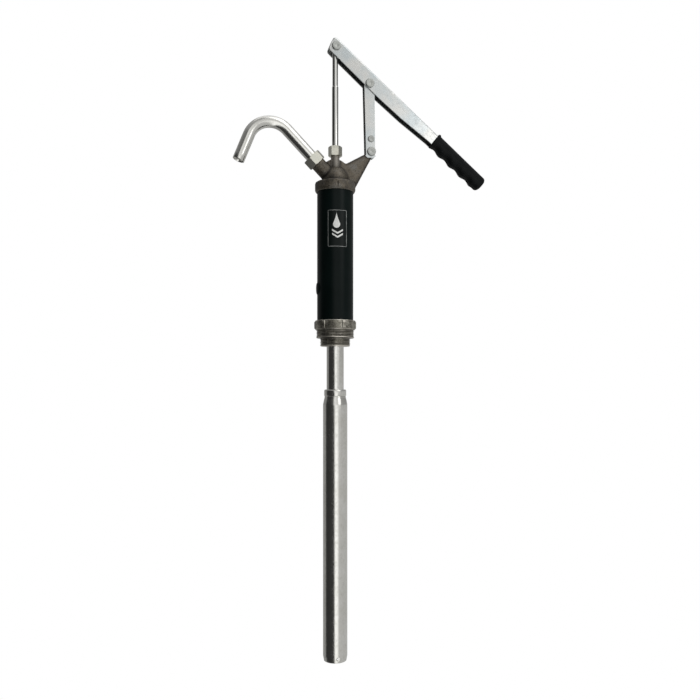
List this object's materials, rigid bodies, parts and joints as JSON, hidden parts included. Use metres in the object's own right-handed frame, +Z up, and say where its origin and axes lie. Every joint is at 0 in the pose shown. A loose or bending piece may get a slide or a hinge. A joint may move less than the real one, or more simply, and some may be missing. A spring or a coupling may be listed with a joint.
{
  "type": "drum barrel pump",
  "caption": "Hand lever piston pump for drums: bung-mounted barrel, curved swivel spout, link-guided lever with rubber grip and telescopic suction tube.",
  "frame": {"origin": "on the pump's axis, at the underside of the base flange where it seats on the drum's bung", "axes": "+Z up along the piston rod, +X towards the handle, -X towards the spout, -Y the front that carries the label"},
  "size_m": [0.4152, 0.0656, 0.9803],
  "materials": {
    "cast_head": "rough as-cast, dark warm grey",
    "cast_base": "rough as-cast, lighter warm grey",
    "black_enamel": "gloss black enamel",
    "label_print": "printed film with light line work",
    "gasket_rubber": "matt",
    "fibre_washer": "pressed fibre",
    "valve_brass": "machined",
    "cup_leather": "oiled",
    "valve_rubber": "nitrile",
    "packing_cord": "greased braided packing",
    "tube_plate": "bright nickel or zinc plate",
    "spout_plate": "bright nickel plate",
    "strainer_steel": "perforated sheet",
    "bush_nylon": "natural nylon",
    "nut_zinc": "pale zinc plate",
    "rod_chrome": "ground and chromed",
    "lever_zinc": "zinc plate with faint streaks",
    "pin_zinc": "zinc plate",
    "grip_rubber": "satin moulded rubber"
  },
  "bodies": {
    "pump_body": {"pump_head": "cast_head", "head_gasket": "gasket_rubber", "barrel": "black_enamel", "barrel_label": "label_print", "base_gasket": "gasket_rubber", "bottom_cap": "cast_base", "foot_valve_seat": "valve_brass", "foot_valve_cage": "valve_brass", "upper_suction_tube": "tube_plate", "tube_stop_bush": "bush_nylon", "rod_packing": "packing_cord", "gland_follower": "valve_brass", "gland_nut": "nut_zinc", "spout_washer": "fibre_washer", "spout_union_nut": "nut_zinc"},
    "spout": {"spout_tube": "spout_plate", "spout_ferrule": "spout_plate"},
    "sliding_tube": {"lower_suction_tube": "tube_plate", "telescope_seal": "gasket_rubber", "inlet_strainer": "strainer_steel"},
    "foot_valve": {"foot_valve_disc": "valve_brass"},
    "rod": {"piston_rod": "rod_chrome", "rod_eye": "rod_chrome", "valve_stop": "nut_zinc", "piston_body": "valve_brass", "piston_cup": "cup_leather", "cup_follower": "valve_brass", "piston_nut": "nut_zinc"},
    "piston_valve": {"piston_valve_disc": "valve_rubber"},
    "link_arm": {"link": "lever_zinc", "link_rivet": "pin_zinc", "link_pin": "pin_zinc", "link_pin_washer": "pin_zinc", "link_split_pin": "pin_zinc"},
    "handle": {"lever": "lever_zinc", "lever_grip": "grip_rubber", "rod_pin": "pin_zinc", "lever_pin": "pin_zinc", "lever_pin_washers": "pin_zinc", "lever_split_pins": "pin_zinc"}
  },
  "joints": [
    {"name": "link_sway", "type": "hinge", "parent": "pump_body", "child": "link_arm", "pos_m": [0.058, 0, 0.2849], "axis": [0, 1, 0], "range_deg": [0, 4.09]},
    {"name": "lever_swing", "type": "hinge", "parent": "link_arm", "child": "handle", "pos_m": [0.05472, 0, 0.39249], "axis": [0, -1, 0], "range_deg": [0, 84.08]},
    {"name": "rod_stroke", "type": "slide", "parent": "pump_body", "child": "rod", "axis": [0, 0, -1], "range_m": [0, 0.09841]},
    {"name": "piston_valve_lift", "type": "slide", "parent": "rod", "child": "piston_valve", "axis": [0, 0, 1], "range_m": [0, 0.004]},
    {"name": "foot_valve_lift", "type": "slide", "parent": "pump_body", "child": "foot_valve", "axis": [0, 0, 1], "range_m": [0, 0.005]},
    {"name": "spout_swivel", "type": "hinge", "parent": "pump_body", "child": "spout", "pos_m": [0, 0, 0.2326], "axis": [-0.7071, 0, 0.7071], "range_deg": [-60, 60]},
    {"name": "suction_telescope", "type": "slide", "parent": "pump_body", "child": "sliding_tube", "axis": [0, 0, -1], "range_m": [-0.058, 0.29]}
  ],
  "couplings": [
    {"joint": "link_sway", "follows": "lever_swing", "ratio": 0.048567},
    {"joint": "rod_stroke", "follows": "lever_swing", "m_per_rad": 0.066992}
  ]
}
